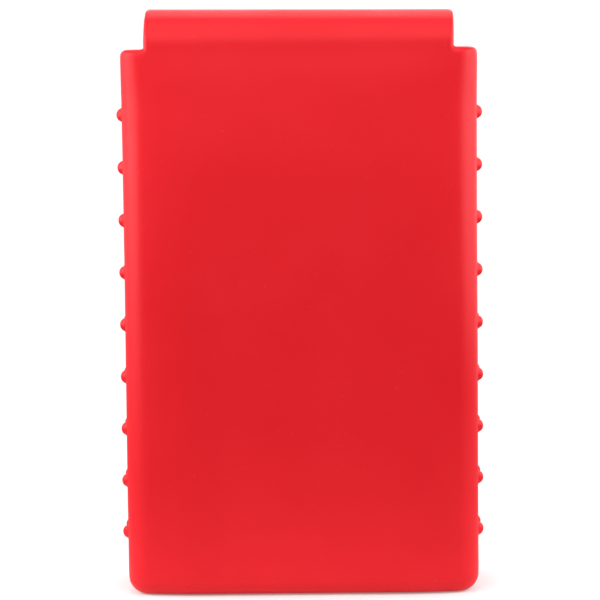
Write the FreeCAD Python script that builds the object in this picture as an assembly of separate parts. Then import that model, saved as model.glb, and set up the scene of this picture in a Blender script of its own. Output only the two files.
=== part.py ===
import FreeCAD, Part
import math
import os

from FreeCAD import Vector

# A soft silicone skin for a flip-top pocket box, moulded in one piece.
# The box slides in from above and a flap, carried by the back wall, folds over its top.
# Millimetres. +Z up, the skin stands on its base, the plain back wall faces +Y, the flap
# comes down in front of the -Y wall, and the origin is the middle of the pocket's footprint.

# The box that the pocket holds
BOX_WIDTH = 55.5
BOX_DEPTH = 22.5
BOX_HEIGHT = 88.0

# The sleeve
PLAY = 0.1
HEAD_ROOM = 2.0
WALL = 1.8
EDGE_RADIUS = 3.6
BASE_RADIUS = 3.0
RIM_RADIUS = 1.1
RIM_INNER_RADIUS = 0.4

# The thumb notch in the front wall's rim
NOTCH_HALF = 13.0
NOTCH_DROP = 13.0
NOTCH_FLOOR_RADIUS = 9.0
NOTCH_LIP_RADIUS = 3.0

# The flap
FLAP_WIDTH = 51.0
FLAP_RISE = 6.7
FLAP_EDGE_OUTER = 0.8
FLAP_EDGE_INNER = 0.4
FLAP_GAP = 0.3
TONGUE_LENGTH = 26.0
TONGUE_CORNER = 9.0
CURL_RADIUS = 9.0
CURL_DEG = 24.0
ROOT_DEPTH = 3.0

# Each bend of the flap turns at three lines on its outer face
TURN_ANGLES = (15.0, 45.0, 75.0)

# The grip nubs on both side walls
NUB_ROWS = 9
NUB_FIRST_Z = 10.35
NUB_PITCH = 8.83
NUB_COLUMN_PITCH = 8.4
NUB_BASE_RADIUS = 1.1
NUB_HEIGHT = 0.95

POCKET_WIDTH = BOX_WIDTH + PLAY
POCKET_DEPTH = BOX_DEPTH + PLAY
WIDTH = POCKET_WIDTH + 2 * WALL
DEPTH = POCKET_DEPTH + 2 * WALL
SHOULDER_Z = WALL + BOX_HEIGHT + HEAD_ROOM

BACK_Y = DEPTH / 2
FRONT_Y = -DEPTH / 2
TONGUE_OUTER_Y = FRONT_Y - FLAP_GAP - WALL
REAR_CENTRE = Vector(0, BACK_Y - FLAP_RISE, SHOULDER_Z)
FRONT_CENTRE = Vector(0, TONGUE_OUTER_Y + FLAP_RISE, SHOULDER_Z)

X_AXIS = Vector(1, 0, 0)
EPS = 1e-4


def wire_face(edges):
    return Part.Face(Part.Wire(Part.__sortEdges__(edges)))


def line(a, b):
    return Part.LineSegment(a, b).toShape()


def arc(centre, radius, start_deg, end_deg, place):
    """A circular edge in a plane. place turns two plane coordinates into a point."""
    points = []
    for share in (0.0, 0.5, 1.0):
        turn = math.radians(start_deg + share * (end_deg - start_deg))
        u = centre[0] + radius * math.cos(turn)
        v = centre[1] + radius * math.sin(turn)
        points.append(place(u, v))
    return Part.Arc(*points).toShape()


def rounded_block(width, depth, floor_z, top_z, side_radius, floor_radius):
    block = Part.makeBox(width, depth, top_z - floor_z, Vector(-width / 2, -depth / 2, floor_z))
    upright = [e for e in block.Edges if e.BoundBox.ZLength > EPS]
    block = block.makeFillet(side_radius, upright)
    floor = [e for e in block.Edges if e.BoundBox.ZMax < floor_z + EPS]
    return block.makeFillet(floor_radius, floor)


def thumb_notch():
    """The prism cut out of the front wall: straight sides, a wide round floor, rounded lips."""

    def place(x, z):
        return Vector(x, FRONT_Y - 1, z)

    lip = NOTCH_HALF + NOTCH_LIP_RADIUS
    lip_z = SHOULDER_Z - NOTCH_LIP_RADIUS
    floor_z = SHOULDER_Z - NOTCH_DROP
    round_x = NOTCH_HALF - NOTCH_FLOOR_RADIUS
    round_z = floor_z + NOTCH_FLOOR_RADIUS
    over = SHOULDER_Z + 1
    edges = [
        line(place(-lip, over), place(-lip, SHOULDER_Z)),
        arc((-lip, lip_z), NOTCH_LIP_RADIUS, 90, 0, place),
        line(place(-NOTCH_HALF, lip_z), place(-NOTCH_HALF, round_z)),
        arc((-round_x, round_z), NOTCH_FLOOR_RADIUS, 180, 270, place),
        line(place(-round_x, floor_z), place(round_x, floor_z)),
        arc((round_x, round_z), NOTCH_FLOOR_RADIUS, 270, 360, place),
        line(place(NOTCH_HALF, round_z), place(NOTCH_HALF, lip_z)),
        arc((lip, lip_z), NOTCH_LIP_RADIUS, 180, 90, place),
        line(place(lip, SHOULDER_Z), place(lip, over)),
        line(place(lip, over), place(-lip, over)),
    ]
    return wire_face(edges).extrude(Vector(0, WALL + 2, 0))


def flap_section(outer_y, inner_y, z):
    """The flap's cross-section in a level plane, with its long edges rounded."""
    side = 1 if outer_y > inner_y else -1
    half = FLAP_WIDTH / 2
    low = min(outer_y, inner_y)
    high = max(outer_y, inner_y)
    corner_low = FLAP_EDGE_INNER if side > 0 else FLAP_EDGE_OUTER
    corner_high = FLAP_EDGE_OUTER if side > 0 else FLAP_EDGE_INNER

    def place(x, y):
        return Vector(x, y, z)

    edges = [
        line(place(-half + corner_low, low), place(half - corner_low, low)),
        arc((half - corner_low, low + corner_low), corner_low, 270, 360, place),
        line(place(half, low + corner_low), place(half, high - corner_high)),
        arc((half - corner_high, high - corner_high), corner_high, 0, 90, place),
        line(place(half - corner_high, high), place(-half + corner_high, high)),
        arc((-half + corner_high, high - corner_high), corner_high, 90, 180, place),
        line(place(-half, high - corner_high), place(-half, low + corner_low)),
        arc((-half + corner_low, low + corner_low), corner_low, 180, 270, place),
    ]
    return wire_face(edges)


def rear_bend(start_deg, end_deg):
    """Part of the bend over the back wall. 0 is the back wall's rim, 90 the level top."""
    face = flap_section(BACK_Y, BACK_Y - WALL, SHOULDER_Z)
    face.rotate(REAR_CENTRE, X_AXIS, start_deg)
    return face.revolve(REAR_CENTRE, X_AXIS, end_deg - start_deg)


def front_bend(start_deg, end_deg):
    """Part of the bend at the front. 0 is the level top, 90 the tongue's upper end."""
    face = flap_section(TONGUE_OUTER_Y, TONGUE_OUTER_Y + WALL, SHOULDER_Z)
    face.rotate(FRONT_CENTRE, X_AXIS, start_deg - 90)
    return face.revolve(FRONT_CENTRE, X_AXIS, end_deg - start_deg)


def join(solids):
    whole = solids[0].fuse(solids[1:]).removeSplitter()
    return whole.Solids[0] if len(whole.Solids) == 1 else whole


def depth_in_wall(point):
    """How far a point of the sleeve's wall lies from its outer skin."""
    across = max(abs(point.x) - (WIDTH / 2 - EDGE_RADIUS), 0)
    along = max(abs(point.y) - (DEPTH / 2 - EDGE_RADIUS), 0)
    return EDGE_RADIUS - math.hypot(across, along)


def rim_edges(shell, depth):
    """The rim's edges, the notch's included, at one depth in the wall."""
    found = []
    for edge in shell.Edges:
        middle = edge.valueAt((edge.FirstParameter + edge.LastParameter) / 2)
        at_rim = edge.BoundBox.ZMin > SHOULDER_Z - NOTCH_DROP - EPS
        if at_rim and abs(depth_in_wall(middle) - depth) < EPS:
            found.append(edge)
    return found


def sleeve_shell():
    """The pocket's walls and floor, with the rim that the flap grows out of."""
    outer = rounded_block(WIDTH, DEPTH, 0, SHOULDER_Z, EDGE_RADIUS, BASE_RADIUS)
    pocket = rounded_block(
        POCKET_WIDTH, POCKET_DEPTH, WALL, SHOULDER_Z + WALL, EDGE_RADIUS - WALL, BASE_RADIUS - WALL
    )
    shell = outer.cut(pocket).cut(thumb_notch())
    shell = shell.makeFillet(RIM_RADIUS, rim_edges(shell, 0))
    shell = shell.makeFillet(RIM_INNER_RADIUS, rim_edges(shell, WALL))
    root = flap_section(BACK_Y, BACK_Y - WALL, SHOULDER_Z).extrude(Vector(0, 0, -ROOT_DEPTH))
    return join([shell, root, rear_bend(0, TURN_ANGLES[0])])


def flap_top():
    """The level top of the flap, from the rear bend's last turn to the front bend's first."""
    face = flap_section(BACK_Y, BACK_Y - WALL, SHOULDER_Z)
    face.rotate(REAR_CENTRE, X_AXIS, 90)
    level = face.extrude(FRONT_CENTRE - REAR_CENTRE)
    return join([rear_bend(TURN_ANGLES[2], 90), level, front_bend(0, TURN_ANGLES[0])])


def tongue_outline():
    """The tongue's outline from the front, as a prism: square at the top, round corners below."""

    def place(x, z):
        return Vector(x, BACK_Y, z)

    half = FLAP_WIDTH / 2
    tip_z = SHOULDER_Z - TONGUE_LENGTH
    round_x = half - TONGUE_CORNER
    round_z = tip_z + TONGUE_CORNER
    edges = [
        line(place(-half, SHOULDER_Z), place(-half, round_z)),
        arc((-round_x, round_z), TONGUE_CORNER, 180, 270, place),
        line(place(-round_x, tip_z), place(round_x, tip_z)),
        arc((round_x, round_z), TONGUE_CORNER, 270, 360, place),
        line(place(half, round_z), place(half, SHOULDER_Z)),
        line(place(half, SHOULDER_Z), place(-half, SHOULDER_Z)),
    ]
    return wire_face(edges).extrude(Vector(0, -2 * DEPTH, 0))


def curl_centre():
    """The curl's centre: a line in front of the tongue, level with the curl's upper end."""
    height = (CURL_RADIUS + WALL) * math.sin(math.radians(CURL_DEG))
    return Vector(0, TONGUE_OUTER_Y - CURL_RADIUS, SHOULDER_Z - TONGUE_LENGTH + height)


def depth_in_tongue(point):
    """How far a point of the tongue lies from its outer face, along the curl too."""
    centre = curl_centre()
    if point.z > centre.z:
        return point.y - TONGUE_OUTER_Y
    return math.hypot(point.y - centre.y, point.z - centre.z) - CURL_RADIUS


def tongue_border(plate, depth):
    """The edges round one face of the tongue, without its top and without the curl's start."""
    curl_z = curl_centre().z
    found = []
    for edge in plate.Edges:
        box = edge.BoundBox
        middle = edge.valueAt((edge.FirstParameter + edge.LastParameter) / 2)
        at_top = box.ZMin > SHOULDER_Z - EPS
        at_curl = box.ZLength < EPS and abs(box.ZMin - curl_z) < EPS
        if not at_top and not at_curl and abs(depth_in_tongue(middle) - depth) < EPS:
            found.append(edge)
    return found


def flap_tongue():
    """The strip down the front, with an outward curl to pull at, and the end of the bend."""
    centre = curl_centre()
    section = Part.makePlane(
        FLAP_WIDTH, WALL, Vector(-FLAP_WIDTH / 2, TONGUE_OUTER_Y, SHOULDER_Z)
    )
    down = Vector(0, 0, centre.z - SHOULDER_Z)
    straight = section.extrude(down)
    section.translate(down)
    curl = section.revolve(centre, X_AXIS, -1.25 * CURL_DEG)
    plate = join([straight, curl]).common(tongue_outline()).Solids[0]
    plate = plate.makeFillet(FLAP_EDGE_OUTER, tongue_border(plate, 0))
    plate = plate.makeFillet(FLAP_EDGE_INNER, tongue_border(plate, WALL))
    return join([plate, front_bend(TURN_ANGLES[2], 90)])


def nub_column(side, y):
    """One upright column of domes on the outside of a side wall. side is -1 or 1."""
    radius = (NUB_BASE_RADIUS**2 + NUB_HEIGHT**2) / (2 * NUB_HEIGHT)
    centre = Vector(side * (WIDTH / 2 + NUB_HEIGHT - radius), y, NUB_FIRST_Z)
    outside = Part.makeBox(4 * radius, 4 * radius, 4 * radius)
    corner_x = WIDTH / 2 if side > 0 else -WIDTH / 2 - 4 * radius
    outside.translate(Vector(corner_x, y - 2 * radius, NUB_FIRST_Z - 2 * radius))
    dome = Part.makeSphere(radius, centre).common(outside).Solids[0]
    domes = []
    for row in range(NUB_ROWS):
        copy = dome.copy()
        copy.translate(Vector(0, 0, row * NUB_PITCH))
        domes.append(copy)
    return Part.makeCompound(domes)


def main():
    first, second, third = TURN_ANGLES
    nodes = {
        "sleeve_shell": sleeve_shell(),
        "rear_bend_lower": rear_bend(first, second),
        "rear_bend_upper": rear_bend(second, third),
        "flap_top": flap_top(),
        "front_bend_upper": front_bend(first, second),
        "front_bend_lower": front_bend(second, third),
        "flap_tongue": flap_tongue(),
    }
    for side_name, side in (("left", -1), ("right", 1)):
        for place_name, column in (("front", -1), ("middle", 0), ("back", 1)):
            name = f"grip_nubs_{side_name}_{place_name}"
            nodes[name] = nub_column(side, column * NUB_COLUMN_PITCH)

    os.makedirs("parts", exist_ok=True)
    for name, shape in nodes.items():
        box = shape.BoundBox
        print(f"{name}: valid {shape.isValid()}, solids {len(shape.Solids)}, {shape.Volume:.1f} mm3,"
              f" x {box.XMin:.2f} to {box.XMax:.2f}, y {box.YMin:.2f} to {box.YMax:.2f},"
              f" z {box.ZMin:.2f} to {box.ZMax:.2f}")
        shape.exportStep(f"parts/{name}.step")


main()
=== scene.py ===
import math

import bpy
import bmesh
import numpy as np
from mathutils import Matrix, Vector, noise


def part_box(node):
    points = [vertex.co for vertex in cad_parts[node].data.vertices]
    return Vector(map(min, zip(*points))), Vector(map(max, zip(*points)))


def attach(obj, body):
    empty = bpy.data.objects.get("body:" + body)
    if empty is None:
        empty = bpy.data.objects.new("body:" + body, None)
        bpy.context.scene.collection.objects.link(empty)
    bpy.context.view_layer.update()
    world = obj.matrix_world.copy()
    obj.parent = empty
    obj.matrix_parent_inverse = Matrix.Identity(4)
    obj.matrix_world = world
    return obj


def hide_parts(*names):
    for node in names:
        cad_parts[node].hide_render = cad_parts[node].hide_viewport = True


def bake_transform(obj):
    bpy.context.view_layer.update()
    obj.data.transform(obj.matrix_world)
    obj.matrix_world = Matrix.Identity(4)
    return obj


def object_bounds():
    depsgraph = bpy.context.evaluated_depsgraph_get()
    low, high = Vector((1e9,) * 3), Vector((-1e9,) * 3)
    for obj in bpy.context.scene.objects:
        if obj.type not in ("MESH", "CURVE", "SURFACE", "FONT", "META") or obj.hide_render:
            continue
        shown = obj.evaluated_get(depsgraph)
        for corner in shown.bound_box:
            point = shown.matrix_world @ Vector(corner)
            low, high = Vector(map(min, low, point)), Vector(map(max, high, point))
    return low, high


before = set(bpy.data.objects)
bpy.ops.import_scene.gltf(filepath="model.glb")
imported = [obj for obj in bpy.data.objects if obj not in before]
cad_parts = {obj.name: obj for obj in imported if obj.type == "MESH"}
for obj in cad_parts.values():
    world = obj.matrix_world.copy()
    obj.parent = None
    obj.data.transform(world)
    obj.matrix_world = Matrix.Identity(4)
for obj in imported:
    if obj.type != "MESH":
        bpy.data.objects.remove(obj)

cad_low, cad_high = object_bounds()

# A one-piece silicone skin for a pocket box: a hollow sleeve whose back wall runs on into a flap.
# The whole skin is built as one closed surface, then cut into pieces where the flap's links turn.
# Metres, in the frame of the CAD model: the sleeve stands on z = 0 and its plain back faces +Y.

MM = 0.001

# Sizes of the moulding that the CAD boxes don't give
WALL = 1.8 * MM
EDGE_RADIUS = 3.6 * MM
BASE_RADIUS = 3.0 * MM
RIM_RADIUS = 1.1 * MM
RIM_INNER_RADIUS = 0.4 * MM
NOTCH_HALF = 13.0 * MM
NOTCH_DROP = 13.0 * MM
NOTCH_FLOOR_RADIUS = 9.0 * MM
NOTCH_LIP_RADIUS = 3.0 * MM

# The flap. Its curl's angle goes down to the tongue's tip, and the tip's edge runs a little on.
FLAP_EDGE_OUTER = 0.8 * MM
FLAP_EDGE_INNER = 0.4 * MM
FLAP_RISE = 6.7 * MM
TONGUE_CORNER = 9.0 * MM
TONGUE_GAP = 0.3 * MM
CURL_RADIUS = 9.0 * MM
CURL_DEG = 24.0
CURL_TIP_DEG = 26.0

# The grip nubs: domes on a hollow skirt, sunk a little into the side walls
NUB_ROWS = 9
NUB_RADIUS = 1.1 * MM
NUB_HEIGHT = 0.95 * MM
NUB_ROOT = 0.2 * MM
NUB_SKIRT = 0.3 * MM
NUB_SHOULDER_DEG = 18.0

# How finely the skin and the nubs are divided
CORNER_STEPS = 8
MIDDLE_STEPS = 10
SIDE_STEPS = 8
WALL_ROWS = 26
BASE_STEPS = 6
OUTER_ARC_STEPS = 5
INNER_ARC_STEPS = 3
NOTCH_LIP_STEPS = 4
NOTCH_FLOOR_STEPS = 5
FILLET_STEPS = 4
FOLD_ROWS = 8
LEVEL_ROWS = 7
TIP_ROWS = 8
BEND_STEPS = 360
NUB_SIDES = 20
NUB_SKIRT_STEPS = 4
NUB_DOME_STEPS = 8
# Points that round to the same step of a grid this fine are one point
POINTS_PER_METRE = 1e6

# The pieces that the skin is cut into, by number, and the bodies along each bend
PIECES = (
    "sleeve_skin",
    "rear_fold_lower",
    "rear_fold_middle",
    "rear_fold_upper",
    "flap_top_skin",
    "front_fold_upper",
    "front_fold_middle",
    "front_fold_lower",
    "tongue_skin",
)
SLEEVE = PIECES.index("sleeve_skin")
REAR_FIRST = PIECES.index("rear_fold_lower")
TOP = PIECES.index("flap_top_skin")
FRONT_FIRST = PIECES.index("front_fold_upper")
TONGUE = PIECES.index("tongue_skin")
REAR_BODIES = ("sleeve", "rear_link_lower", "rear_link_upper", "flap")
FRONT_BODIES = ("flap", "front_link_upper", "front_link_lower", "tongue")

# Where the skin is cut, in degrees round each bend
CUTS = (2.5, 30.0, 60.0, 87.5)
# Each bend is made of three soft turns: their middles and half widths in degrees round the bend,
# and the share of the bend that they make. The rest is spread evenly.
TURNS = ((15.0, 9.5), (45.0, 12.0), (75.0, 9.5))
TURN_SHARE = 0.75
# The bends lie this far inside the CAD model, so that their turns meet its axes
BEND_FALL = 0.18 * MM
# How far from the bends the fall starts, and how near the middle plane it crosses over
BEND_FALL_REACH = 5.0 * MM

# How far the silicone drifts from true, and over what length. A finer drift is half as long and
# a third as large. Without a seed the noise would start from the clock and differ in each run.
DRIFT = 0.08 * MM
DRIFT_LENGTH = 32.0 * MM
FINE_DRIFT_SHIFT = Vector((5, 3, 8))
DRIFT_SEED = 1
# How far the wide walls stand out, and the heights between which they do so in full
CROWN = 0.4 * MM
CROWN_START = 24.0 * MM
CROWN_TOP = 70.0 * MM
# How far they fall away at the sides, and where the falls start and end
SIDE_FALL = 1.8 * MM
SIDE_FALL_X = 17.0 * MM
SIDE_FALL_TOP = 82.0 * MM
BEND_CALM = 95.0 * MM
# On the -X side the walls stay straighter by this share, about this height
STRAIGHT_SHARE = 0.55
STRAIGHT_Z = 44.0 * MM
STRAIGHT_REACH = 13.0 * MM
# How far the side walls swell out, and how much more at both ends
SIDE_SWELL = 0.12 * MM
END_SWELL = 0.14 * MM
# How far the rim stands up, how far the flap's +X side stands over its middle, and how far the
# flap leans to +X over its first bend
TOP_RISE = 0.22 * MM
FLAP_SKEW = 0.24 * MM
FLAP_LEAN = -0.14 * MM

# Silicone: its colours (linear), and its gloss
RED = (0.76, 0.0130, 0.0210, 1.0)
RED_DEEP = (0.74, 0.0115, 0.0190, 1.0)
# The edge colour is a painted glow: edges and nub tops are painted a brighter red, in place of
# light shining through the thin silicone
RED_EDGE_GLOW = (0.80, 0.0200, 0.0300, 1.0)
LINT = (0.80, 0.35, 0.35, 1.0)
# How far the edges go over to that painted glow; the edge polish below is real wear, in the
# roughness
EDGE_GLOW_SHARE = 0.3
LINT_PALENESS = 0.06
EDGE_POLISH = -0.06
SILICONE_IOR = 1.41
SPECULAR_LEVEL = 0.24
ROUGHNESS_LOW = 0.40
ROUGHNESS_HIGH = 0.49
# Its patterns: scale (per metre), detail, and the band of the noise that is spread out in full
MOTTLE = (90.0, 3.0, 0.35, 0.65)
SPECKS = (1600.0, 1.0, 0.74, 0.80)
MATTE = (60.0, 4.0, 0.3, 0.7)
# Its bumps: scale (per metre), detail, strength, height
GRAIN = (3500.0, 2.0, 0.25, 0.03 * MM)
RIPPLE = (120.0, 2.0, 0.5, 0.10 * MM)

# The studio: light strengths, floor and camera (millimetres of lens, degrees of turn)
WHITE = (1.0, 1.0, 1.0, 1.0)
AMBIENT = 0.09
SURROUNDINGS = 1.05
FLOOR_WHITE = (0.70, 0.70, 0.70, 1.0)
FLOOR_ROUGHNESS = 0.9
FLOOR_GLOW = 0.20
FLOOR_RADIUS = 0.12
FLOOR_FADE_START = 0.02
FLOOR_SIDES = 96
CAMERA_PLACE = (-2.06 * MM, 398.61 * MM, 82.26 * MM)
CAMERA_SENSOR = 36.0
CAMERA_LENS = 139.27
CAMERA_TILT = 4.76
CAMERA_YAW = 0.33
CAMERA_LEAN = -0.58

# Soft boxes: name, place, size, watts
LIGHTS = (
    ("near_back_plus_x", (0.17, 0.045, 0.11), 0.15, 0.37),
    ("near_back_minus_x", (-0.17, 0.045, 0.11), 0.15, 0.29),
    ("near_front_plus_x", (0.17, -0.05, 0.11), 0.15, 0.04),
    ("near_front_minus_x", (-0.17, -0.05, 0.11), 0.15, 0.04),
    ("quarter_plus_x", (0.40, -0.35, 0.15), 0.40, 0.30),
    ("quarter_minus_x", (-0.40, -0.35, 0.15), 0.40, 0.60),
    ("front", (0.0, -0.45, 0.20), 0.40, 0.80),
    ("top_back", (0.0, 0.13, 0.20), 0.20, 0.30),
    ("top_front", (0.0, -0.14, 0.26), 0.20, 0.30),
)

# Places taken from the frame's boxes
_, sleeve_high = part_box("sleeve_shell")
_, flap_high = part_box("flap_top")
tongue_low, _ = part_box("flap_tongue")

HALF_X = sleeve_high.x
HALF_Y = sleeve_high.y
CORE_X = HALF_X - EDGE_RADIUS
CORE_Y = HALF_Y - EDGE_RADIUS
RIM_Z = flap_high.z - FLAP_RISE
FLAP_HALF = flap_high.x
REAR_Y = HALF_Y - FLAP_RISE
TONGUE_Y = -HALF_Y - TONGUE_GAP - WALL
FRONT_Y = TONGUE_Y + FLAP_RISE
TIP_Z = tongue_low.z
CURL_Z = TIP_Z + (CURL_RADIUS + WALL) * math.sin(math.radians(CURL_DEG))

# Lengths along the flap's outer face, from the rim: rear bend, level top, front bend, tongue
BEND_LENGTH = FLAP_RISE * math.pi / 2
TOP_START = BEND_LENGTH
FRONT_START = TOP_START + REAR_Y - FRONT_Y
TONGUE_START = FRONT_START + BEND_LENGTH
CURL_START = TONGUE_START + RIM_Z - CURL_Z
TIP_END = CURL_START + CURL_RADIUS * math.radians(CURL_TIP_DEG)
CORNER_START = TIP_END - TONGUE_CORNER
ROOT_END = FLAP_RISE * math.radians(CUTS[0])


def edge_profile(outer, inner):
    """(depth in the wall, distance from the edge) at each step round an edge with these radii,
    from the outer face to the inner face."""
    steps = []
    for i in range(OUTER_ARC_STEPS + 1):
        turn = math.pi / 2 * i / OUTER_ARC_STEPS
        steps.append((outer * (1 - math.cos(turn)), outer * (1 - math.sin(turn))))
    for i in range(INNER_ARC_STEPS + 1):
        turn = math.pi / 2 * i / INNER_ARC_STEPS
        steps.append((WALL - inner * (1 - math.sin(turn)), inner * (1 - math.cos(turn))))
    return steps


RIM_PROFILE = edge_profile(RIM_RADIUS, RIM_INNER_RADIUS)
FLAP_PROFILE = edge_profile(FLAP_EDGE_OUTER, FLAP_EDGE_INNER)
LAST = len(RIM_PROFILE) - 1


class Skin:
    """Points and faces of the whole moulding. Points in the same place are one point. Each point
    also carries an edge mask: real polish, and a painted glow in the colour.
    """

    def __init__(self):
        self.points = []
        self.index = {}
        self.wear_and_glow = []
        self.faces = []
        self.piece = []

    def point(self, place, wear_and_glow=0.0):
        key = tuple(round(c * POINTS_PER_METRE) for c in place)
        if key not in self.index:
            self.index[key] = len(self.points)
            self.points.append(tuple(place))
            self.wear_and_glow.append(wear_and_glow)
        at = self.index[key]
        self.wear_and_glow[at] = max(self.wear_and_glow[at], wear_and_glow)
        return at

    def face(self, corners, piece):
        ring = [c for i, c in enumerate(corners) if c != corners[i - 1]]
        if len(set(ring)) > 2:
            self.faces.append(ring)
            self.piece.append(piece)

    def grid(self, rows, piece, closed=False):
        """Quads between rows of points, or of points with their edge mask (real polish and painted
        glow). A closed grid joins each row's end to its start."""
        ids = []
        for row in rows:
            edge_mark = isinstance(row[0][0], tuple)
            ids.append([self.point(*p) if edge_mark else self.point(p) for p in row])
        for a, b in zip(ids, ids[1:]):
            n = len(a)
            for i in range(n if closed else n - 1):
                j = (i + 1) % n
                self.face([a[i], a[j], b[j], b[i]], piece)
        return ids


def ease(value, start, end):
    """0 before start, 1 after end, and smooth between."""
    share = min(1.0, max(0.0, (value - start) / (end - start)))
    return share * share * (3 - 2 * share)


def bend_line():
    """The bend's outer face in small steps: (away from the centre, forward, direction)."""
    line = [(0.0, 0.0, 0.0)]
    for i in range(BEND_STEPS):
        share = (i + 0.5) / BEND_STEPS
        turned = sum(ease(90 * share, middle - half, middle + half) for middle, half in TURNS)
        turn = math.pi / 2 * (share + (turned / len(TURNS) - share) * TURN_SHARE)
        away, forward, _ = line[-1]
        line.append((away - math.sin(turn), forward + math.cos(turn), turn))
    radius = FLAP_RISE - BEND_FALL
    end_away, end_forward, _ = line[-1]
    return [
        (radius * (1 - away / end_away), radius * forward / end_forward, turn)
        for away, forward, turn in line
    ]


BEND_LINE = bend_line()


def bend_place(turn, depth):
    """The strip's place in a bend: (away from the bend's centre, forward), this deep in it."""
    step = min(BEND_STEPS - 1, int(turn / (math.pi / 2) * BEND_STEPS))
    share = turn / (math.pi / 2) * BEND_STEPS - step
    away, forward, direction = (
        a + (b - a) * share for a, b in zip(BEND_LINE[step], BEND_LINE[step + 1])
    )
    return away - depth * math.cos(direction), forward - depth * math.sin(direction)


def flap_place(x, along, depth):
    """A point of the flap from its place across, along and into the strip."""
    x += FLAP_LEAN * ease(along, 0.0, BEND_LENGTH)
    if along <= 0:
        return (x, HALF_Y - depth, RIM_Z + along)
    if along <= TOP_START:
        away, forward = bend_place(along / FLAP_RISE, depth)
        return (x, REAR_Y + BEND_FALL + away, RIM_Z + forward)
    if along <= FRONT_START:
        past = along - TOP_START
        left = FRONT_START - along
        run = REAR_Y - FRONT_Y + 2 * BEND_FALL
        fall = BEND_FALL * (1 - ease(min(past, left), 0.0, BEND_FALL_REACH))
        y = REAR_Y + BEND_FALL - run * past / (past + left)
        return (x, y, RIM_Z + FLAP_RISE - fall - depth)
    if along <= TONGUE_START:
        away, forward = bend_place((along - FRONT_START) / FLAP_RISE, depth)
        return (x, FRONT_Y - BEND_FALL - forward, RIM_Z + away)
    if along <= CURL_START:
        return (x, TONGUE_Y + depth, RIM_Z - (along - TONGUE_START))
    turn = (along - CURL_START) / CURL_RADIUS
    reach = CURL_RADIUS + depth
    return (x, TONGUE_Y - CURL_RADIUS + reach * math.cos(turn), CURL_Z - reach * math.sin(turn))


def strip_columns(step):
    """(x, further along at the tongue's tip) of the flap's columns, from +X to -X, at one step of
    the edge profile. They crowd towards the sides, so that they meet the tongue's round corners."""
    radius = TONGUE_CORNER - FLAP_PROFILE[step][1]
    flat = FLAP_HALF - TONGUE_CORNER
    columns = []
    for i in range(CORNER_STEPS + 1):
        turn = math.pi / 2 * i / CORNER_STEPS
        columns.append((flat + radius * math.cos(turn), radius * math.sin(turn)))
    for i in range(1, MIDDLE_STEPS):
        columns.append((flat - 2 * flat * i / MIDDLE_STEPS, radius))
    return columns + [(-x, more) for x, more in columns[CORNER_STEPS::-1]]


def strip_ring(along):
    """The flap's closed cross-section at one place along it, its edge points marked for real polish
    and a painted glow.
    """
    outer = [(flap_place(x, along, 0), 0.0) for x, _ in strip_columns(0)]
    inner = [(flap_place(x, along, WALL), 0.0) for x, _ in strip_columns(LAST)]
    edge = [(FLAP_HALF - off, depth) for depth, off in FLAP_PROFILE]
    minus = [(flap_place(-x, along, depth), 1.0) for x, depth in edge[1:-1]]
    plus = [(flap_place(x, along, depth), 1.0) for x, depth in edge[1:-1]]
    return outer + minus + inner[::-1] + plus[::-1]


def rim_path():
    """The rim's edge line, from the back wall's -X end round the front to its +X end. Each point
    has the wall's core place, its outward normal, its height and the way into the wall."""
    path = []

    def add(cx, cy, nx, ny, z=RIM_Z, mx=0.0, mz=-1.0):
        path.append((cx, cy, nx, ny, z, mx, mz))

    def corner(cx, cy, start):
        for i in range(CORNER_STEPS + 1):
            turn = start + math.pi / 2 * i / CORNER_STEPS
            add(cx, cy, math.cos(turn), math.sin(turn))

    def side(cx, nx, first_y, last_y):
        for i in range(1, SIDE_STEPS):
            add(cx, first_y + (last_y - first_y) * i / SIDE_STEPS, nx, 0.0)

    corner(-CORE_X, CORE_Y, math.pi / 2)
    side(-CORE_X, -1.0, CORE_Y, -CORE_Y)
    corner(-CORE_X, -CORE_Y, math.pi)
    for x, z, mx, mz in notch_path():
        add(x, -CORE_Y, 0.0, -1.0, z, mx, mz)
    corner(CORE_X, -CORE_Y, -math.pi / 2)
    side(CORE_X, 1.0, -CORE_Y, CORE_Y)
    corner(CORE_X, CORE_Y, 0.0)
    return path


def notch_path():
    """The front wall's edge line between its corners, with the thumb notch: (x, z, way into the
    wall). It runs from the -X side to the middle, and back again mirrored."""
    lip_x = NOTCH_HALF + NOTCH_LIP_RADIUS
    lip_z = RIM_Z - NOTCH_LIP_RADIUS
    floor_z = RIM_Z - NOTCH_DROP
    floor_x = NOTCH_HALF - NOTCH_FLOOR_RADIUS
    half = [(-(CORE_X + lip_x) / 2, RIM_Z, 0.0, -1.0)]
    for i in range(NOTCH_LIP_STEPS + 1):
        turn = math.radians(90 - 90 * i / NOTCH_LIP_STEPS)
        c, s = math.cos(turn), math.sin(turn)
        half.append((-lip_x + NOTCH_LIP_RADIUS * c, lip_z + NOTCH_LIP_RADIUS * s, -c, -s))
    for i in range(NOTCH_FLOOR_STEPS + 1):
        turn = math.radians(180 + 90 * i / NOTCH_FLOOR_STEPS)
        c, s = math.cos(turn), math.sin(turn)
        z = floor_z + NOTCH_FLOOR_RADIUS * (1 + s)
        half.append((-floor_x + NOTCH_FLOOR_RADIUS * c, z, c, s))
    half.append((-floor_x / 2, floor_z, 0.0, -1.0))
    middle = [(0.0, floor_z, 0.0, -1.0)]
    return half + middle + [(-x, z, -mx, mz) for x, z, mx, mz in half[::-1]]


def rim_place(at, step):
    """The rim's point at one place of its path and one step of its edge profile."""
    cx, cy, nx, ny, z, mx, mz = at
    depth, off = RIM_PROFILE[step]
    reach = EDGE_RADIUS - depth
    return (cx + mx * off + nx * reach, cy + ny * reach, z + mz * off)


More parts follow.
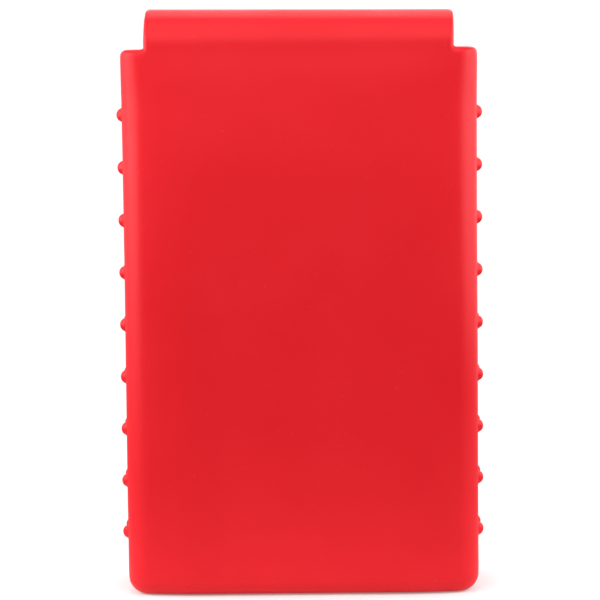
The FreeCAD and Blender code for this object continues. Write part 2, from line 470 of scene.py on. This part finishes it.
def wall_columns(step):
    """(core x, core y, normal x, normal y) at the wall's foot, then the top point, for each column
    of the outer wall (step 0) or the inner wall (step LAST), going round from the back's -X end."""
    columns = []
    path = rim_path()
    first_front = 2 * CORNER_STEPS + SIDE_STEPS + 1
    last_front = len(path) - (2 * CORNER_STEPS + SIDE_STEPS + 1) - 1
    for i, at in enumerate(path):
        cx, cy, nx, ny = at[:4]
        if first_front <= i <= last_front:
            share = (i - first_front + 1) / (last_front - first_front + 2)
            cx = -CORE_X + 2 * CORE_X * share
        columns.append(((cx, cy, nx, ny), rim_place(at, step)))
    reach = EDGE_RADIUS - RIM_PROFILE[step][0]
    top_z = RIM_Z - RIM_PROFILE[step][1]
    for x, _ in strip_columns(step):
        columns.append(((x, CORE_Y, 0.0, 1.0), (x, CORE_Y + reach, top_z)))
    return columns


def wall(skin, step, foot_z):
    """One face of the sleeve's wall, from the base's rounding to the rim."""
    depth = RIM_PROFILE[step][0]
    columns = wall_columns(step)
    rows = []
    for j in range(WALL_ROWS + 1):
        share = j / WALL_ROWS
        row = []
        for (cx, cy, nx, ny), top in columns:
            foot = (cx + nx * (EDGE_RADIUS - depth), cy + ny * (EDGE_RADIUS - depth), foot_z)
            row.append(tuple(f + (t - f) * share for f, t in zip(foot, top)))
        rows.append(row)
    skin.grid(rows, SLEEVE, closed=True)
    return [c for c, _ in columns]


def foot_ring(columns, depth, z):
    """The ring of the wall's columns at one height in the base's rounding."""
    reach = EDGE_RADIUS - depth
    return [(cx + nx * reach, cy + ny * reach, z) for cx, cy, nx, ny in columns]


def floor_patch(skin, ring):
    """Fills the ring at the bottom with a grid that runs from the back to the front."""
    half_corner = CORNER_STEPS // 2
    across = 2 * half_corner + len(notch_path()) + 1
    along = 2 * half_corner + SIDE_STEPS
    start = half_corner
    count = len(ring)
    side_a = [ring[(start + i) % count] for i in range(along + 1)]
    front = [ring[(start + along + i) % count] for i in range(across + 1)]
    side_b = [ring[(start + along + across + i) % count] for i in range(along + 1)][::-1]
    back = [ring[(start + 2 * along + across + i) % count] for i in range(across + 1)][::-1]
    rows = []
    for j in range(along + 1):
        v = j / along
        row = []
        for i in range(across + 1):
            u = i / across
            point = []
            for c in range(3):
                edges = (1 - v) * back[i][c] + v * front[i][c]
                edges += (1 - u) * side_a[j][c] + u * side_b[j][c]
                corners = (1 - u) * (1 - v) * back[0][c] + u * (1 - v) * back[-1][c]
                corners += (1 - u) * v * front[0][c] + u * v * front[-1][c]
                point.append(edges - corners)
            row.append(tuple(point))
        rows.append(row)
    skin.grid(rows, SLEEVE)


def root_fillet(skin, side):
    """The small round where the flap's edge rises out of the rim. side is 1 or -1."""
    rows = []
    for (rim_depth, rim_off), (edge_depth, edge_off) in zip(RIM_PROFILE, FLAP_PROFILE):
        a = (side * CORE_X, -rim_off, rim_depth)
        b = (side * (FLAP_HALF - edge_off), ROOT_END, edge_depth)
        c = (b[0], a[1], (rim_depth + edge_depth) / 2)
        row = []
        for i in range(FILLET_STEPS + 1):
            t = i / FILLET_STEPS
            x, along, depth = (
                (1 - t) ** 2 * p + 2 * t * (1 - t) * q + t * t * r for p, q, r in zip(a, c, b)
            )
            # The whole round is marked for real polish and a painted glow in the colour
            row.append((flap_place(x, along, depth), 1.0))
        rows.append(row)
    ids = skin.grid(rows, SLEEVE)
    for step, arc in ((0, ids[0]), (LAST, ids[-1])):
        depth, off = RIM_PROFILE[step]
        hub = skin.point(flap_place(side * (FLAP_HALF - FLAP_PROFILE[step][1]), -off, depth))
        for i in range(0, FILLET_STEPS, 2):
            skin.face([hub, arc[i], arc[i + 1], arc[i + 2]], SLEEVE)


def flap_stations():
    """(place along the flap, piece of the stretch that ends there) down the whole flap."""
    stations = [(ROOT_END, SLEEVE)]

    def stretch(to, steps, piece):
        start = stations[-1][0]
        for i in range(1, steps + 1):
            stations.append((start + (to - start) * i / steps, piece))

    def folds(base, first):
        for n, cut in enumerate(CUTS[1:]):
            stretch(base + FLAP_RISE * math.radians(cut), FOLD_ROWS, first + n)

    folds(0.0, REAR_FIRST)
    stretch(TOP_START, 1, TOP)
    stretch(FRONT_START, LEVEL_ROWS, TOP)
    stretch(FRONT_START + ROOT_END, 1, TOP)
    folds(FRONT_START, FRONT_FIRST)
    stretch(TONGUE_START, 1, TONGUE)
    stretch(CORNER_START, LEVEL_ROWS, TONGUE)
    return stations


def tongue_tip(skin):
    """The tongue's end beyond the last full cross-section: both faces and the rounded edge."""
    for step in (0, LAST):
        depth = FLAP_PROFILE[step][0]
        rows = []
        for j in range(TIP_ROWS + 1):
            share = j / TIP_ROWS
            columns = strip_columns(step)
            rows.append([flap_place(x, CORNER_START + more * share, depth) for x, more in columns])
        skin.grid(rows, TONGUE)
    rows = []
    for step, (depth, _) in enumerate(FLAP_PROFILE):
        columns = strip_columns(step)
        # Its rounded edge is marked for real polish and a painted glow in the colour
        wear_and_glow = 0.0 if step in (0, LAST) else 1.0
        rows.append([(flap_place(x, CORNER_START + more, depth), wear_and_glow) for x, more in columns])
    skin.grid(rows, TONGUE)


def sleeve_face(skin, step, rounding, floor_z):
    """The sleeve's outer face (step 0) or inner face (step LAST): wall, rounding and floor."""
    depth = RIM_PROFILE[step][0]
    foot_z = floor_z + rounding
    columns = wall(skin, step, foot_z)
    rings = []
    for i in range(BASE_STEPS + 1):
        turn = math.pi / 2 * i / BASE_STEPS
        inset = depth + rounding * (1 - math.cos(turn))
        rings.append(foot_ring(columns, inset, foot_z - rounding * math.sin(turn)))
    skin.grid(rings, SLEEVE, closed=True)
    floor_patch(skin, rings[-1])


def rim(skin):
    """The rounded rim between the sleeve's two faces, round its sides and its front."""
    rows = []
    for step in range(LAST + 1):
        # The rounded edge is marked for real polish and a painted glow in the colour
        wear_and_glow = 1.0 if 0 < step < LAST else 0.0
        rows.append([(rim_place(at, step), wear_and_glow) for at in rim_path()])
    skin.grid(rows, SLEEVE)


def flap_root(skin):
    """The first stretch of the flap, between the sleeve's faces and the first full section."""
    for side in (1, -1):
        root_fillet(skin, side)
    for step in (0, LAST):
        depth, off = RIM_PROFILE[step]
        rows = []
        for along in (-off, ROOT_END):
            rows.append([flap_place(x, along, depth) for x, _ in strip_columns(step)])
        skin.grid(rows, SLEEVE)


def flap_strip(skin):
    """The flap from its root to where the tongue's round corners start."""
    stations = flap_stations()
    for (start, _), (end, piece) in zip(stations, stations[1:]):
        skin.grid([strip_ring(start), strip_ring(end)], piece, closed=True)


def build_skin():
    """The whole moulding as one closed surface."""
    skin = Skin()
    sleeve_face(skin, 0, BASE_RADIUS, 0.0)
    sleeve_face(skin, LAST, BASE_RADIUS - WALL, WALL)
    rim(skin)
    flap_root(skin)
    flap_strip(skin)
    tongue_tip(skin)
    return skin


def subdivided(skin):
    """The whole skin as one smooth mesh. Each face's material index is its piece's number."""
    mesh = bpy.data.meshes.new("cage")
    mesh.from_pydata(skin.points, [], skin.faces)
    mesh.polygons.foreach_set("material_index", skin.piece)
    mesh.attributes.new("wear_and_glow", "FLOAT", "POINT").data.foreach_set("value", skin.wear_and_glow)
    work = bmesh.new()
    work.from_mesh(mesh)
    bmesh.ops.recalc_face_normals(work, faces=work.faces)
    work.to_mesh(mesh)
    work.free()
    cage = bpy.data.objects.new("cage", mesh)
    bpy.context.scene.collection.objects.link(cage)
    cage.modifiers.new("smooth", "SUBSURF").levels = 1
    depsgraph = bpy.context.evaluated_depsgraph_get()
    fine = bpy.data.meshes.new_from_object(cage.evaluated_get(depsgraph))
    bpy.data.objects.remove(cage)
    bpy.data.meshes.remove(mesh)
    return fine


def softened(place):
    """This place on soft silicone, which is never quite flat: the wide walls are crowned and fall
    away towards the sides, and near points drift alike. Little moves at the bends, where the flap
    turns about the CAD model's axes."""
    p = Vector(place)
    drift = noise.noise_vector(p / DRIFT_LENGTH) * DRIFT
    drift += noise.noise_vector(p / (DRIFT_LENGTH / 2) + FINE_DRIFT_SHIFT) * DRIFT / 3
    drift.z *= min(1.0, max(0.0, p.z) / DRIFT_LENGTH)
    fall = SIDE_FALL * max(0.0, (abs(p.x) - SIDE_FALL_X) / (HALF_X - SIDE_FALL_X)) ** 2
    fall *= 1 - ease(p.z, SIDE_FALL_TOP, BEND_CALM)
    if p.x < 0:
        fall *= 1 - STRAIGHT_SHARE * math.exp(-(((p.z - STRAIGHT_Z) / STRAIGHT_REACH) ** 2))
    crown = CROWN * ease(p.z, 0.0, CROWN_START) * (1 - ease(p.z, CROWN_TOP, BEND_CALM))
    drift.y += (crown - fall) * p.y / HALF_Y
    inward = BEND_FALL * ease(p.z, RIM_Z - BEND_FALL_REACH, RIM_Z)
    drift.y += inward - 2 * inward * ease(p.y, -BEND_FALL_REACH, BEND_FALL_REACH)
    drift.x += (SIDE_SWELL + END_SWELL * (2 * p.z / RIM_Z - 1) ** 2) * p.x / HALF_X
    drift.z += FLAP_SKEW * p.x / FLAP_HALF * ease(p.z, RIM_Z, RIM_Z + FLAP_RISE)
    drift.z += TOP_RISE * p.z / RIM_Z
    return p + drift


def add_piece(name, points, faces, wear_and_glow, normals=None):
    """A smooth-shaded mesh object with the silicone's coordinates and its edge mask (real polish,
    painted glow) stored on its points.
    """
    mesh = bpy.data.meshes.new(name)
    mesh.from_pydata(points, [], faces)
    mesh.polygons.foreach_set("use_smooth", [True] * len(faces))
    if normals is not None:
        mesh.normals_split_custom_set_from_vertices(normals)
    place = mesh.attributes.new("rest", "FLOAT_VECTOR", "POINT")
    place.data.foreach_set("vector", np.array(points, np.float32).ravel())
    edge_mark = mesh.attributes.new("wear_and_glow", "FLOAT", "POINT")
    edge_mark.data.foreach_set("value", wear_and_glow)
    mesh.materials.append(silicone)
    piece = bpy.data.objects.new(name, mesh)
    bpy.context.scene.collection.objects.link(piece)
    return piece


def capped(faces):
    """The faces, and one more across each open cut, so that the piece is a closed form."""
    sides = {(a, b) for face in faces for a, b in zip(face, [*face[1:], face[0]])}
    after = {b: a for a, b in sides if (b, a) not in sides}
    caps = []
    while after:
        loop = [min(after)]
        while after[loop[-1]] != loop[0]:
            loop.append(after.pop(loop[-1]))
        after.pop(loop[-1])
        caps.append(loop)
    return faces + caps


def cut_pieces(fine):
    """One object for each piece of the skin, with the whole skin's normals along the cuts. Also
    the points of the cut between each piece and the next one."""
    for vertex in fine.vertices:
        vertex.co = softened(vertex.co)
    fine.update()
    normals = [n.vector.copy() for n in fine.vertex_normals]
    # The edge mask, for real polish and a painted glow in the colour
    wear_and_glow = [0.0] * len(fine.vertices)
    fine.attributes["wear_and_glow"].data.foreach_get("value", wear_and_glow)
    pieces = []
    owned = []
    for number, name in enumerate(PIECES):
        faces = [f.vertices[:] for f in fine.polygons if f.material_index == number]
        used = sorted({v for f in faces for v in f})
        owned.append(used)
        place = {v: i for i, v in enumerate(used)}
        pieces.append(
            add_piece(
                name,
                [fine.vertices[v].co[:] for v in used],
                capped([[place[v] for v in f] for f in faces]),
                [wear_and_glow[v] for v in used],
                normals=[normals[v] for v in used],
            )
        )
    cuts = [
        [fine.vertices[v].co.copy() for v in sorted(set(before) & set(after))]
        for before, after in zip(owned, owned[1:])
    ]
    bpy.data.meshes.remove(fine)
    return pieces, cuts


def bend_piece(piece):
    """Bakes the piece's transform into its points. It is not blended between bodies and follows
    none."""
    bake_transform(piece)


def attach_skin(pieces, cuts):
    """Hides the skin's CAD nodes, and lets the sleeve, the flap's top and the tongue follow their
    bodies. The bend pieces follow no body.
    """
    sleeve, lower, middle, _, top, front_upper, _, front_lower, tongue = pieces
    rear = (REAR_FIRST, 0.0, REAR_BODIES)
    front = (FRONT_FIRST, FRONT_START, FRONT_BODIES)
    for first, base, bodies in (rear, front):
        for n, (degrees, _) in enumerate(TURNS):
            pivot = softened(flap_place(0.0, base + FLAP_RISE * math.radians(degrees), 0.0))
            bend_piece(pieces[first + n])
    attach(sleeve, "sleeve")
    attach(top, "flap")
    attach(tongue, "tongue")
    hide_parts("sleeve_shell")
    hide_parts("rear_bend_lower")
    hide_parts("rear_bend_upper")
    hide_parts("flap_top")
    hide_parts("front_bend_upper")
    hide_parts("front_bend_lower")
    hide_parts("flap_tongue")


def nub_profile():
    """(radius, height over the wall) from the buried foot, up the hollow skirt, to the top."""
    skirt = NUB_RADIUS + NUB_SKIRT
    steps = [(skirt, -NUB_ROOT), (skirt, -NUB_ROOT / 4)]
    for i in range(1, NUB_SKIRT_STEPS):
        turn = math.pi / 2 * i / NUB_SKIRT_STEPS
        steps.append((skirt - NUB_SKIRT * math.sin(turn), NUB_SKIRT * (1 - math.cos(turn))))
    for i in range(NUB_DOME_STEPS):
        turn = math.radians(NUB_SHOULDER_DEG + (90 - NUB_SHOULDER_DEG) * i / NUB_DOME_STEPS)
        steps.append((NUB_RADIUS * math.cos(turn), NUB_HEIGHT * math.sin(turn)))
    return steps


def nub_points(wall_x, side, y, z):
    """The points of one nub on a side wall: its foot, its rings from the foot up, and its top."""
    points = [(wall_x - side * NUB_ROOT, y, z)]
    for radius, height in nub_profile():
        for i in range(NUB_SIDES):
            turn = 2 * math.pi * i / NUB_SIDES * side
            across = y + radius * math.cos(turn)
            points.append((wall_x + side * height, across, z + radius * math.sin(turn)))
    points.append((wall_x + side * NUB_HEIGHT, y, z))
    return points


def nub_faces(foot):
    """The faces of one nub, whose points start at foot."""
    rings = len(nub_profile())
    last = foot + 1 + (rings - 1) * NUB_SIDES
    top = last + NUB_SIDES
    faces = []
    for i in range(NUB_SIDES):
        j = (i + 1) % NUB_SIDES
        faces.append([foot, foot + 1 + j, foot + 1 + i])
        for r in range(rings - 1):
            a = foot + 1 + r * NUB_SIDES
            b = a + NUB_SIDES
            faces.append([a + i, a + j, b + j, b + i])
        faces.append([last + i, last + j, top])
    return faces


def nub_column(node, piece_name):
    """The nine nubs of one CAD node."""
    low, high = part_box(node)
    side = 1 if low.x > 0 else -1
    y = (low.y + high.y) / 2
    pitch = (high.z - low.z - 2 * NUB_RADIUS) / (NUB_ROWS - 1)
    points = []
    faces = []
    for row in range(NUB_ROWS):
        faces += nub_faces(len(points))
        points += nub_points(side * HALF_X, side, y, low.z + NUB_RADIUS + pitch * row)
    points = [softened(p) for p in points]
    # Nub tops are marked towards 1: real polish, and a painted glow in the colour, in place of
    # light through their thin silicone
    wear_and_glow = [min(1.0, max(0.0, abs(p.x) - HALF_X) / NUB_HEIGHT) for p in points]
    piece = add_piece(piece_name, points, faces, wear_and_glow)
    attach(piece, "sleeve")
    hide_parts(node)


def socket(node, name, value):
    node.inputs[name].default_value = value


class Pattern:
    """Short names for the nodes that mix a material's patterns."""

    def __init__(self, material, place):
        self.nodes = material.node_tree.nodes
        self.links = material.node_tree.links
        self.place = place

    def cloud(self, scale, detail):
        made = self.nodes.new("ShaderNodeTexNoise")
        socket(made, "Scale", scale)
        socket(made, "Detail", detail)
        self.links.new(self.place, made.inputs["Vector"])
        return made.outputs["Fac"]

    def spread(self, kind, to_low, to_high):
        """A cloud of this kind, spread out between two values."""
        scale, detail, low, high = kind
        return self.ramp(self.cloud(scale, detail), low, high, to_low, to_high)

    def ramp(self, value, low, high, to_low, to_high):
        made = self.nodes.new("ShaderNodeMapRange")
        socket(made, "From Min", low)
        socket(made, "From Max", high)
        socket(made, "To Min", to_low)
        socket(made, "To Max", to_high)
        self.links.new(value, made.inputs["Value"])
        return made.outputs["Result"]

    def colours(self, share, a, b):
        """The colour a, gone over to b by this share."""
        made = self.nodes.new("ShaderNodeMix")
        made.data_type = "RGBA"
        for name, value in (("Factor", share), ("A", a), ("B", b)):
            target = [s for s in made.inputs if s.name == name and s.enabled][0]
            if isinstance(value, tuple):
                target.default_value = value
            else:
                self.links.new(value, target)
        return [s for s in made.outputs if s.enabled][0]

    def bump(self, kind):
        scale, detail, strength, height = kind
        made = self.nodes.new("ShaderNodeBump")
        socket(made, "Strength", strength)
        socket(made, "Distance", height)
        self.links.new(self.cloud(scale, detail), made.inputs["Height"])
        return made


def silicone_material():
    """Moulded red silicone: satin, with a fine matte skin, faint clouds, lint specks, polished
    edges and a painted glow along its edges.
    """
    material = bpy.data.materials.new("silicone")
    material.use_nodes = True
    nodes = material.node_tree.nodes
    links = material.node_tree.links
    shader = nodes["Principled BSDF"]
    socket(shader, "IOR", SILICONE_IOR)
    socket(shader, "Specular IOR Level", SPECULAR_LEVEL)

    place = nodes.new("ShaderNodeAttribute")
    place.attribute_name = "rest"
    wear_and_glow = nodes.new("ShaderNodeAttribute")
    wear_and_glow.attribute_name = "wear_and_glow"
    pattern = Pattern(material, place.outputs["Vector"])

    mottle = pattern.spread(MOTTLE, 0.0, 1.0)
    lint = pattern.spread(SPECKS, 0.0, LINT_PALENESS)
    # Painted glow: marked edges go over to a brighter red, in place of light shining through the
    # thin silicone
    edge_mark = pattern.ramp(wear_and_glow.outputs["Fac"], 0.0, 1.0, 0.0, EDGE_GLOW_SHARE)
    colour = pattern.colours(mottle, RED_DEEP, RED)
    colour = pattern.colours(lint, colour, LINT)
    colour = pattern.colours(edge_mark, colour, RED_EDGE_GLOW)
    links.new(colour, shader.inputs["Base Color"])

    matte = pattern.spread(MATTE, ROUGHNESS_LOW, ROUGHNESS_HIGH)
    polish = nodes.new("ShaderNodeMath")
    polish.operation = "MULTIPLY_ADD"
    links.new(wear_and_glow.outputs["Fac"], polish.inputs[0])
    polish.inputs[1].default_value = EDGE_POLISH
    links.new(matte, polish.inputs[2])
    links.new(polish.outputs["Value"], shader.inputs["Roughness"])

    grain = pattern.bump(GRAIN)
    ripple = pattern.bump(RIPPLE)
    links.new(grain.outputs["Normal"], ripple.inputs["Normal"])
    links.new(ripple.outputs["Normal"], shader.inputs["Normal"])
    return material


def floor_material():
    """Matt near-white, fading into the white surroundings towards the floor's rim."""
    material = bpy.data.materials.new("floor")
    material.use_nodes = True
    nodes = material.node_tree.nodes
    links = material.node_tree.links
    shader = nodes["Principled BSDF"]
    socket(shader, "Base Color", FLOOR_WHITE)
    socket(shader, "Roughness", FLOOR_ROUGHNESS)
    socket(shader, "Emission Color", WHITE)
    socket(shader, "Emission Strength", FLOOR_GLOW)
    place = nodes.new("ShaderNodeTexCoord")
    distance = nodes.new("ShaderNodeVectorMath")
    distance.operation = "LENGTH"
    links.new(place.outputs["Object"], distance.inputs[0])
    fade = nodes.new("ShaderNodeMapRange")
    fade.interpolation_type = "SMOOTHSTEP"
    socket(fade, "From Min", FLOOR_FADE_START)
    socket(fade, "From Max", FLOOR_RADIUS)
    links.new(distance.outputs["Value"], fade.inputs["Value"])
    clear = nodes.new("ShaderNodeBsdfTransparent")
    mix = nodes.new("ShaderNodeMixShader")
    links.new(fade.outputs["Result"], mix.inputs["Fac"])
    links.new(shader.outputs["BSDF"], mix.inputs[1])
    links.new(clear.outputs["BSDF"], mix.inputs[2])
    links.new(mix.outputs["Shader"], nodes["Material Output"].inputs["Surface"])
    return material


def make_floor():
    """A round plain floor, which stays out of the object's sizes."""
    ring = []
    for i in range(FLOOR_SIDES):
        turn = math.tau * i / FLOOR_SIDES
        ring.append((FLOOR_RADIUS * math.cos(turn), FLOOR_RADIUS * math.sin(turn), 0.0))
    mesh = bpy.data.meshes.new("floor")
    mesh.from_pydata(ring, [], [list(range(FLOOR_SIDES))])
    mesh.materials.append(floor_material())
    floor = bpy.data.objects.new("floor", mesh)
    bpy.context.scene.collection.objects.link(floor)


def make_world():
    """White all round to the camera, and a much softer even light on the object."""
    world = bpy.data.worlds.new("studio")
    world.use_nodes = True
    bpy.context.scene.world = world
    nodes = world.node_tree.nodes
    links = world.node_tree.links
    nodes.clear()
    rays = nodes.new("ShaderNodeLightPath")
    ambient = nodes.new("ShaderNodeBackground")
    socket(ambient, "Strength", AMBIENT)
    white = nodes.new("ShaderNodeBackground")
    for light in (ambient, white):
        socket(light, "Color", WHITE)
    socket(white, "Strength", SURROUNDINGS)
    mix = nodes.new("ShaderNodeMixShader")
    output = nodes.new("ShaderNodeOutputWorld")
    links.new(rays.outputs["Is Camera Ray"], mix.inputs["Fac"])
    links.new(ambient.outputs["Background"], mix.inputs[1])
    links.new(white.outputs["Background"], mix.inputs[2])
    links.new(mix.outputs["Shader"], output.inputs["Surface"])


def make_light(name, place, size, watts):
    """A square soft box that faces the object's middle."""
    data = bpy.data.lights.new(name, "AREA")
    data.shape = "SQUARE"
    data.size = size
    data.energy = watts
    light = bpy.data.objects.new(name, data)
    light.visible_camera = False
    bpy.context.scene.collection.objects.link(light)
    middle = (cad_low + cad_high) / 2
    light.location = place
    light.rotation_mode = "QUATERNION"
    light.rotation_quaternion = (middle - Vector(place)).to_track_quat("-Z", "Y")


def make_camera():
    """Looks at the sleeve's back, a little down, and leans over a little."""
    data = bpy.data.cameras.new("camera")
    data.sensor_width = CAMERA_SENSOR
    data.lens = CAMERA_LENS
    camera = bpy.data.objects.new("camera", data)
    bpy.context.scene.collection.objects.link(camera)
    tilt, yaw, lean = (math.radians(a) for a in (CAMERA_TILT, CAMERA_YAW, CAMERA_LEAN))
    ahead = math.cos(tilt)
    forward = Vector((math.sin(yaw) * ahead, -math.cos(yaw) * ahead, -math.sin(tilt)))
    level = forward.cross(Vector((0, 0, 1))).normalized()
    upright = level.cross(forward)
    right = level * math.cos(lean) + upright * math.sin(lean)
    up = upright * math.cos(lean) - level * math.sin(lean)
    turn = Matrix((right, up, -forward)).transposed()
    camera.matrix_world = Matrix.Translation(CAMERA_PLACE) @ turn.to_4x4()
    bpy.context.scene.camera = camera


noise.seed_set(DRIFT_SEED)
silicone = silicone_material()
attach_skin(*cut_pieces(subdivided(build_skin())))
for across in ("left", "right"):
    for along in ("front", "middle", "back"):
        nub_column(f"grip_nubs_{across}_{along}", f"nubs_{across}_{along}")
make_floor()
make_world()
for light in LIGHTS:
    make_light(*light)
make_camera()
bpy.context.scene.view_settings.view_transform = "Standard"
